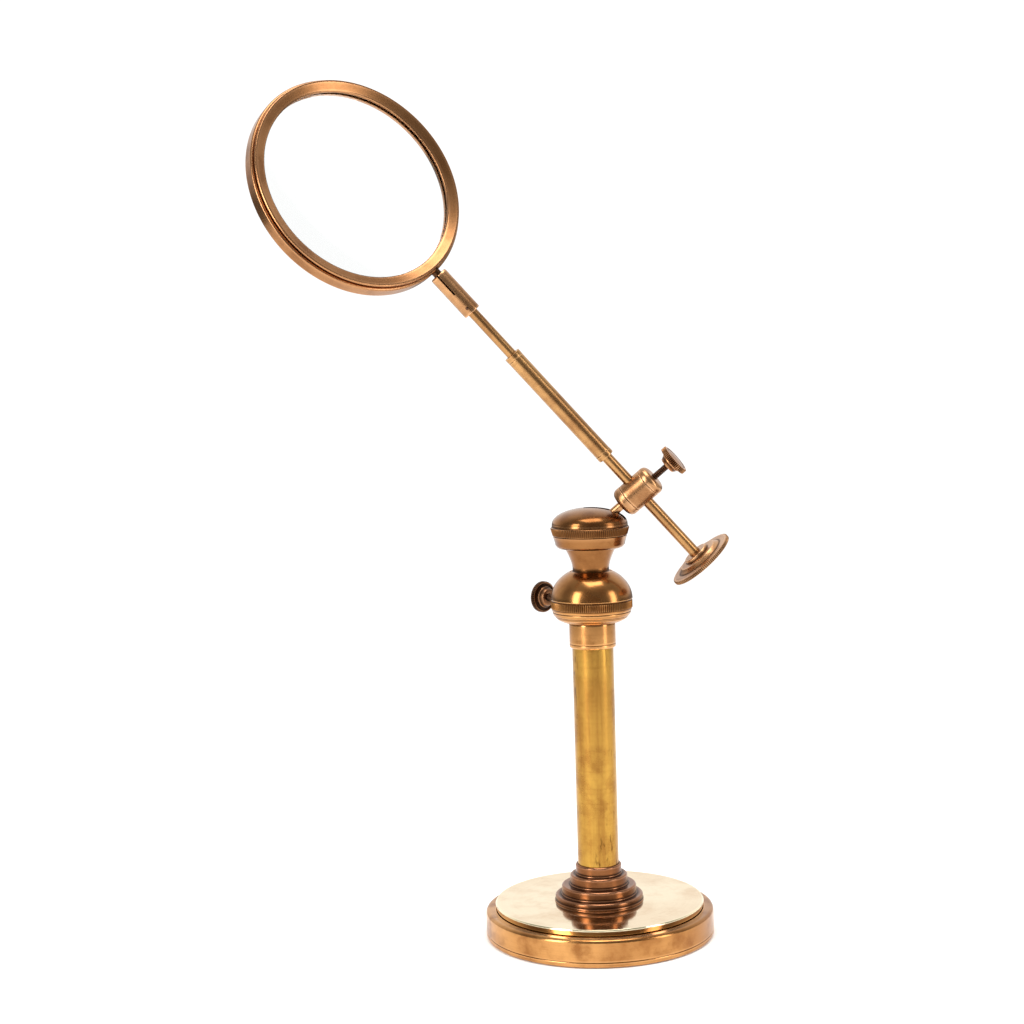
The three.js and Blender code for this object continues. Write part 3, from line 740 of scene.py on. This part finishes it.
# ---- Knop and inner tube ----
def knop():
    """The knop in one piece: a cup with fine turned lines, a knurled band and a domed top."""
    bore = 6.3
    cup = []
    lines = (0.22, 0.3, 0.55, 0.62, 0.85)
    line_reach = 0.012
    line_depth = 0.16
    steps = 26
    cup_points = arc((10.3, 144.4), (7.0, 6.1), -88, 0, steps)
    for index, (radius, height) in enumerate(cup_points):
        share = index / steps
        sunk = line_depth if any(abs(share - line) < line_reach for line in lines) else 0.0
        cup.append((radius - sunk, height + sunk))
    mouth = math.degrees(math.acos(9.2 / 17.8))
    outline = [
        (bore, 127.3),
        (7.3, 127.3),
        (7.3, 138.3),
        *cup,
        (17.7, 144.6, True),
        (17.7, 147.7, True),
        (17.3, 147.9),
        (17.3, 148.2),
        *arc((0, 148.3), (17.8, 14.3), 0.5, mouth, 30),
        (9.0, 160.3),
        (9.0, 158.6),
        (bore, 158.6),
    ]
    piece = turned("knop_body", outline, STAND, teeth=120, depth=0.35, ease=0.12)
    hole = drill("hole", 1.75, 4.8, 20, SCREW, 40)
    return finish_piece(cut(piece, hole), "stand", "bronzed_brass", BRONZED, "knop")


def inner_tube():
    outline = [(4.6, 42.0), (INNER_TUBE_RADIUS, 42.0), (INNER_TUBE_RADIUS, 158.9), (4.6, 158.9)]
    piece = turned("sliding_tube", outline, STAND)
    return finish_piece(piece, "height_tube", "yellow_brass", ROD, "inner_tube")


# ---- Head ----
def neck():
    """The swivelling neck: pivot, bead, waisted neck and bowl."""
    flare = []
    steps = 14
    for step in range(steps + 1):
        rise = step / steps
        flare.append((7.9 + 3.0 * rise**1.5, 162.0 + 8.4 * rise))
    outline = [
        (0, 146.0),
        (4.2, 146.0),
        (4.2, 150.8),
        (3.6, 150.8),
        (3.6, 153.2),
        (4.2, 153.2),
        (4.2, 159.2),
        (8.3, 159.2),
        *arc((8.1, 159.9), (0.65, 0.65), -90, 90, 8),
        (7.9, 161.0),
        *flare,
        (11.1, 170.7),
        *arc((12.6, 172.9), (2.5, 2.3), -80, -4, 12),
        (15.4, 174.0),
        (16.0, 175.9),
        (12.4, 175.9),
        (12.4, 172.2),
        (5.6, 172.2),
        (5.6, 169.2),
        (0, 169.2),
    ]
    piece = turned("neck", outline, STAND, ease=0.15)
    return finish_piece(piece, "head", "bronzed_brass", HEAD_BRASS, "neck_socket")


def slot_cutter():
    """A wedge that frees the stem from upright to its lowest place."""
    half = STEM_RADIUS + 0.4
    lean = math.radians(62.5)
    foot = (2.4 * math.cos(lean), -2.4 * math.sin(lean))
    rise = (20 - foot[0]) / math.tan(lean)
    side = [(-half, foot[1]), foot, (20, foot[1] + rise), (20, 20), (-half, 20)]
    mesh = bpy.data.meshes.new("slot")
    work = bmesh.new()
    for depth in (-half, half):
        for x, z in side:
            work.verts.new((x * MM, depth * MM, z * MM))
    work.verts.ensure_lookup_table()
    count = len(side)
    work.faces.new([work.verts[i] for i in range(count)])
    work.faces.new([work.verts[count + i] for i in reversed(range(count))])
    for i in range(count):
        after = (i + 1) % count
        work.faces.new([work.verts[n] for n in (i, count + i, count + after, after)])
    bmesh.ops.recalc_face_normals(work, faces=work.faces)
    work.to_mesh(mesh)
    work.free()
    return make("slot", mesh, HEAD)


def cap():
    """The slotted cap: a knurled flaring skirt, a step and a low dome over the ball."""
    reach = BALL_RADIUS + GAP
    seat = math.degrees(math.asin(-GAP / reach))
    outline = [
        *arc((0, 0), (reach, reach), 90, seat, 20),
        (12.4, -GAP),
        (12.4, -1.0),
        (16.1, -1.0),
        (16.3, -0.6, True),
        (17.1, 2.2, True),
        (16.9, 2.6),
        (16.5, 2.75),
        (16.5, 3.6),
        *arc((0, 4.0), (16.4, 7.0), 0, 90, 40),
    ]
    piece = turned("cap", outline, HEAD, teeth=112, depth=0.32, ease=0.12)
    return finish_piece(cut(piece, slot_cutter()), "head", "bronzed_brass", HEAD_BRASS, "slotted_cap")


# ---- Ball, stem and barrel ----
def ball():
    piece = turned("tilt_ball", arc((0, 0), (BALL_RADIUS, BALL_RADIUS), -90, 90, 40), STEM, facets=72)
    hole = drill("hole", 2.2, 1.6, 9, STEM, 48)
    return finish_piece(cut(piece, hole), "tilt_ball", "dark_brass", DARK, "ball")


def stem():
    outline = [(0, 1.9), (1.6, 1.9), (STEM_RADIUS, 2.2), (STEM_RADIUS, 21.5), (1.6, 21.8), (0, 21.8)]
    piece = turned("ball_stem", outline, STEM, facets=64)
    return finish_piece(piece, "stem_and_barrel", "bronzed_brass", BRUSHED, "stem")


def barrel():
    """The clamp barrel, with two fine grooves and a bore for the arm."""
    outline = [
        (0, -9.4),
        *arc((4.1, -6.9), (2.5, 2.5), -90, 0, 10),
        (6.6, -5.2),
        (6.4, -4.95),
        (6.6, -4.7),
        (6.6, 5.4),
        (6.45, 5.6),
        (6.6, 5.8),
        *arc((4.1, 6.9), (2.5, 2.5), 0, 90, 10),
        (0, 9.4),
    ]
    piece = turned("barrel", outline, BARREL, facets=96, ease=0.1)
    bore = drill("bore", ARM_ROD_RADIUS + 0.32, -9, 9, ARM, 64)
    hole = drill("hole", 1.75, 0, 11, BARREL, 40)
    socket = drill("socket", 2.15, -11, -5.8, BARREL, 48)
    piece = cut(piece, bore, hole, socket)
    return finish_piece(piece, "stem_and_barrel", "bronzed_brass", BRUSHED, "clamp_barrel")


# ---- Thumbscrews ----
def screw_pad(name, node, rod_radius, place, body):
    tip = rod_radius + GAP
    piece = turned(name, round_bar(1.5, tip, tip + 1.6), place, facets=40)
    return finish_piece(piece, body, "yellow_brass", YELLOW, node)


def screw_shank(name, node, rod_radius, boss, place, body):
    """A threaded shank: a ridge that climbs one pitch for each turn."""
    bottom = rod_radius + 1.6 + 2 * GAP
    top = boss + 2.0
    around = 36
    rows = int((top - bottom) / (SCREW_PITCH / 6))
    verts, faces, crevices, edges = [], [], [], []
    for row in range(rows + 1):
        height = bottom + (top - bottom) * row / rows
        taper = min(1.0, (height - bottom) / 0.6) * 0.25
        for step in range(around):
            turn = step / around
            phase = (height / SCREW_PITCH - turn) % 1.0
            ridge = 1.0 - abs(2.0 * phase - 1.0)
            radius = SCREW_RADIUS - 0.25 + taper - SCREW_THREAD_DEPTH * (1.0 - ridge)
            angle = 2 * math.pi * turn
            verts.append((radius * MM * math.cos(angle), radius * MM * math.sin(angle), height * MM))
            # Painted shade: the roots of the thread get a high crevice value, which darkens their
            # colour.
            crevices.append(1.0 - ridge)
            edges.append(max(0.0, 2 * ridge - 1.0))
    for row in range(rows):
        for step in range(around):
            after = (step + 1) % around
            low, high = row * around, (row + 1) * around
            faces.append((low + step, low + after, high + after, high + step))
    faces.append(tuple(reversed(range(around))))
    faces.append(tuple(range(rows * around, (rows + 1) * around)))
    mesh = shaded_mesh(name, verts, faces, crevices, edges)
    return finish_piece(make(name, mesh, place), body, "dark_brass", DARK, node)


def screw_head(name, node, boss, place, body, slot, material):
    """A thumbscrew head: a tapered boss, a dished back and a knurled rim."""
    face = boss + 2.6
    rim = face + 2.3
    outline = [
        (0, boss + 2.3),
        (1.75, boss + 2.3),
        (1.75, boss),
        (3.6, boss),
        (4.2, boss + 1.4),
        (4.7, boss + 2.0),
        (4.7, boss + 2.7),
        (5.9, face + 0.3),
        (6.4, face),
        (SCREW_HEAD_RADIUS, face + 0.2, True),
        (SCREW_HEAD_RADIUS, rim - 0.1, True),
        (6.4, rim + 0.15),
        (5.7, rim + 0.25),
        (5.5, rim + 0.1),
        *arc((0, rim - 0.5), (5.3, 1.1), 35, 90, 12),
    ]
    outline[-1] = (0, outline[-1][1])
    piece = turned(name, outline, place, teeth=SCREW_HEAD_TEETH, depth=0.5, ease=0.12)
    return finish_piece(piece, body, slot, material, node)


# ---- Arm ----
def arm():
    rod = turned("arm_bar", round_bar(ARM_ROD_RADIUS, -40.1, 27.0), ARM, facets=72)
    finish_piece(rod, "arm", "yellow_brass", ROD, "arm_rod")
    sleeve_outline = [
        (2.7, 20.4),
        (3.7, 20.4),
        (3.7, 22.6),
        (3.5, 22.75),
        (3.62, 22.9),
        (3.62, 77.6),
        (3.5, 77.75),
        (3.7, 77.9),
        (3.7, 80.1),
        (2.45, 80.1),
        (2.45, 27.3),
        (2.7, 27.3),
    ]
    sleeve = turned("arm_tube", sleeve_outline, ARM, facets=80, ease=0.12)
    finish_piece(sleeve, "arm", "yellow_brass", ROD, "arm_sleeve")
    inner = turned("arm_extension", round_bar(EXTENSION_RADIUS, 52, 112), ARM, facets=72)
    finish_piece(inner, "extension", "yellow_brass", ROD, "extension_rod")


def counterweight():
    """A hub and two thin stepped discs with a finely ribbed rim."""
    outline = [
        (0, -40.4),
        (2.6, -40.4),
        (2.6, -36.8),
        (5.5, -36.8),
        (5.8, -37.1),
        (5.8, -38.3),
        (9.2, -38.35),
        (9.6, -38.8),
        (11.2, -40.0),
        (14.6, -40.05),
        (15.3, -40.3, True),
        (15.3, -41.6, True),
        (14.8, -41.85),
        (9.0, -41.9),
        (0, -41.9),
    ]
    piece = turned("counterweight_disc", outline, ARM, teeth=110, depth=0.3, ease=0.12)
    return finish_piece(piece, "arm", "bronzed_brass", BRUSHED, "counterweight")


def lens_ferrule():
    """A socket with a sawn slot that lets it grip the lens stud, and a small pin."""
    outline = [
        (0, 104.6),
        (3.7, 104.6),
        (LENS_FERRULE_RADIUS, 104.8),
        (LENS_FERRULE_RADIUS, 125.2),
        (3.6, 125.8),
        (0, 125.8),
    ]
    piece = turned("lens_socket", outline, ARM, facets=96, ease=0.1)
    rod_hole = drill("rod_hole", 2.45, 103, 112.3, ARM, 64)
    stud_hole = drill("stud_hole", 2.2, 115, 127, ARM, 64)
    slot = box_between("slot", (-0.4, -5, 115), (0.4, 0, 127), ARM)
    pin = turned("pin_end", round_bar(0.55, 2.5, 4.05), ARM @ pin_turn(), facets=32, ease=0.1)
    pin_hole = drill("pin_hole", 0.7, 2, 5, ARM @ pin_turn(), 32)
    piece = cut(piece, rod_hole, stud_hole, slot, pin_hole)
    finish_piece(pin, "extension", "dark_brass", DARK, "ferrule_pin")
    return finish_piece(piece, "extension", "bronzed_brass", BRUSHED, "lens_ferrule")


def pin_turn():
    """Turns the Z axis to the front of the arm, at the pin's place along it."""
    return Matrix.Translation((0, 0, 107.4 * MM)) @ Matrix.Rotation(math.radians(90), 4, "X")


# ---- Lens frame ----
def lens_stud():
    tip = LENS_REACH - RING_RADIUS + 1.7
    piece = turned("stud", round_bar(1.9, 115.3, tip), ARM, facets=56)
    return finish_piece(piece, "lens_frame", "dark_brass", DARK, "lens_stud")


def lens_ring():
    """The ring's back half: outer band, back face and seat."""
    thread = LENS_RADIUS + GAP
    outline = [
        (APERTURE_RADIUS, -3.6),
        (APERTURE_RADIUS + 0.5, -4.05),
        (RING_RADIUS - 0.9, -4.05),
        (RING_RADIUS, -3.2),
        (RING_RADIUS, 1.6),
        (RING_RADIUS - 0.5, 2.1),
        (thread, 2.1),
        (thread, -1.6),
        (APERTURE_RADIUS, -1.6),
    ]
    piece = turned("ring_back", outline, LENS, facets=FINE, ease=0.25)
    stud = drill("stud_hole", 2.2, 126, 129.5, ARM, 48)
    return finish_piece(cut(piece, stud), "lens_frame", "bronzed_brass", RIM, "lens_ring")


def lens_bezel():
    """The screwed bezel: a bright lip and a dished cone down to the lens."""
    outline = [
        (APERTURE_RADIUS, 1.6),
        (LENS_RADIUS, 1.6),
        (LENS_RADIUS, 2.4),
        (46.6, 2.4),
        (47.0, 2.7),
        (47.3, 3.5),
        (46.9, 4.05),
        (46.3, 4.0),
        (APERTURE_RADIUS + 0.5, 2.75),
        (APERTURE_RADIUS, 2.3),
    ]
    piece = turned("ring_bezel", outline, LENS, facets=FINE, ease=0.2)
    return finish_piece(piece, "lens_frame", "bronzed_brass", RIM, "lens_bezel")


def lens():
    """A biconvex lens."""
    curvature = (LENS_RADIUS**2 + LENS_SAGITTA**2) / (2 * LENS_SAGITTA)
    outline = []
    steps = 28
    for side in (-1, 1):
        face = []
        for step in range(steps + 1):
            radius = LENS_RADIUS * step / steps
            drop = curvature - math.sqrt(curvature**2 - radius**2)
            face.append((radius, side * (LENS_EDGE + LENS_SAGITTA - drop)))
        outline += face if side < 0 else face[::-1]
    piece = turned("lens_glass", outline, LENS, facets=FINE, ease=0.1)
    return finish_piece(piece, "lens_frame", "clear_glass", GLASS, "lens")


# ---- Stage ----
def sheen_free(name, colour):
    """A plain matt material for the floor."""
    nodes = Nodes(name)
    nodes.shader.inputs["Base Color"].default_value = (*colour, 1.0)
    nodes.shader.inputs["Roughness"].default_value = 0.9
    nodes.shader.inputs["Specular IOR Level"].default_value = 0.1
    return nodes.material


def floor():
    """A round pale floor that fades into the surround at its edge."""
    mesh = bpy.data.meshes.new("floor")
    work = bmesh.new()
    bmesh.ops.create_circle(work, cap_ends=True, radius=FLOOR_RADIUS, segments=128)
    work.to_mesh(mesh)
    work.free()
    piece = make("floor", mesh, STAND)
    piece.data.materials.append(sheen_free("floor_paint", (0.94, 0.94, 0.935)))


def softbox(name, place, width, height, power):
    """A rectangular area light that faces the middle of the object."""
    light = bpy.data.lights.new(name, "AREA")
    light.shape = "RECTANGLE"
    light.size = width
    light.size_y = height
    light.energy = power
    light.color = LIGHT_COLOUR
    lamp = bpy.data.objects.new(name, light)
    lamp.location = place
    lamp.rotation_euler = (Vector(LIGHT_TARGET) - Vector(place)).to_track_quat("-Z", "Y").to_euler()
    bpy.context.scene.collection.objects.link(lamp)


def world():
    """An even pale surround, except that reflections see a studio: bright above and behind,
    dim towards the camera and at the height of the floor."""
    scene_world = bpy.data.worlds.new("studio")
    bpy.context.scene.world = scene_world
    scene_world.use_nodes = True
    tree = scene_world.node_tree
    background = tree.nodes["Background"]
    paths = tree.nodes.new("ShaderNodeLightPath")
    split = tree.nodes.new("ShaderNodeSeparateXYZ")
    tree.links.new(tree.nodes.new("ShaderNodeTexCoord").outputs["Generated"], split.inputs[0])

    def ramp(source, low, high, start, end):
        node = tree.nodes.new("ShaderNodeMapRange")
        node.interpolation_type = "SMOOTHSTEP"
        tree.links.new(source, node.inputs["Value"])
        for label, value in zip(RAMP_INPUTS, (low, high, start, end)):
            node.inputs[label].default_value = value
        return node.outputs["Result"]

    def combine(operation, first, second):
        node = tree.nodes.new("ShaderNodeMath")
        node.operation = operation
        tree.links.new(first, node.inputs[0])
        tree.links.new(second, node.inputs[1])
        return node.outputs[0]

    behind = ramp(split.outputs[1], -0.2, 0.7, 0.28, 1.1)
    above_floor = ramp(split.outputs[2], -0.04, 0.1, 0.25, 1.0)
    overhead = ramp(split.outputs[2], 0.3, 0.95, 0.0, 0.55)
    reflected = combine("MAXIMUM", combine("MULTIPLY", behind, above_floor), overhead)
    mix = tree.nodes.new("ShaderNodeMix")
    glossy, transmitted = paths.outputs["Is Glossy Ray"], paths.outputs["Is Transmission Ray"]
    mirrored = combine("SUBTRACT", glossy, transmitted)
    tree.links.new(mirrored, mix.inputs["Factor"])
    mix.inputs[2].default_value = SURROUND_STRENGTH
    tree.links.new(reflected, mix.inputs[3])
    background.inputs["Color"].default_value = (1.0, 1.0, 1.0, 1.0)
    tree.links.new(mix.outputs[0], background.inputs["Strength"])


def studio():
    floor()
    world()
    for settings in SOFTBOXES:
        softbox(*settings)


def camera():
    forward = Vector((
        math.sin(CAMERA_YAW) * math.cos(CAMERA_PITCH),
        math.cos(CAMERA_YAW) * math.cos(CAMERA_PITCH),
        -math.sin(CAMERA_PITCH),
    ))
    level = Vector((math.cos(CAMERA_YAW), -math.sin(CAMERA_YAW), 0))
    raised = level.cross(forward)
    right = math.cos(CAMERA_ROLL) * level + math.sin(CAMERA_ROLL) * raised
    top = math.cos(CAMERA_ROLL) * raised - math.sin(CAMERA_ROLL) * level
    lens_data = bpy.data.cameras.new("camera")
    lens_data.lens = CAMERA_LENS
    lens_data.sensor_width = CAMERA_SENSOR
    lens_data.clip_start = 0.01
    viewer = bpy.data.objects.new("camera", lens_data)
    bpy.context.scene.collection.objects.link(viewer)
    viewer.matrix_world = frame_matrix(Vector(CAMERA_PLACE), right, top, -forward)
    bpy.context.scene.camera = viewer


camera()
studio()
bpy.context.scene.view_settings.view_transform = "Standard"

foot_side()
foot_plate()
foot_inside()
collar()
column()
ferrule()
knop()
inner_tube()
neck()
cap()
ball()
stem()
barrel()
screw_pad("column_pad", "column_clamp_pad", INNER_TUBE_RADIUS, SCREW, "stand")
screw_shank(
    "column_thread", "column_screw_shank", INNER_TUBE_RADIUS, COLUMN_SCREW_BOSS, SCREW, "column_screw"
)
screw_head(
    "column_knob", "column_screw_head", COLUMN_SCREW_BOSS, SCREW, "column_screw", "dark_brass", DARK_KNOB
)
screw_pad("arm_pad_tip", "arm_clamp_pad", ARM_ROD_RADIUS, BARREL, "stem_and_barrel")
screw_shank("arm_thread", "arm_screw_shank", ARM_ROD_RADIUS, ARM_SCREW_BOSS, BARREL, "arm_screw")
screw_head("arm_knob", "arm_screw_head", ARM_SCREW_BOSS, BARREL, "arm_screw", "bronzed_brass", KNOB)
arm()
counterweight()
lens_ferrule()
lens_stud()
lens_ring()
lens_bezel()
lens()
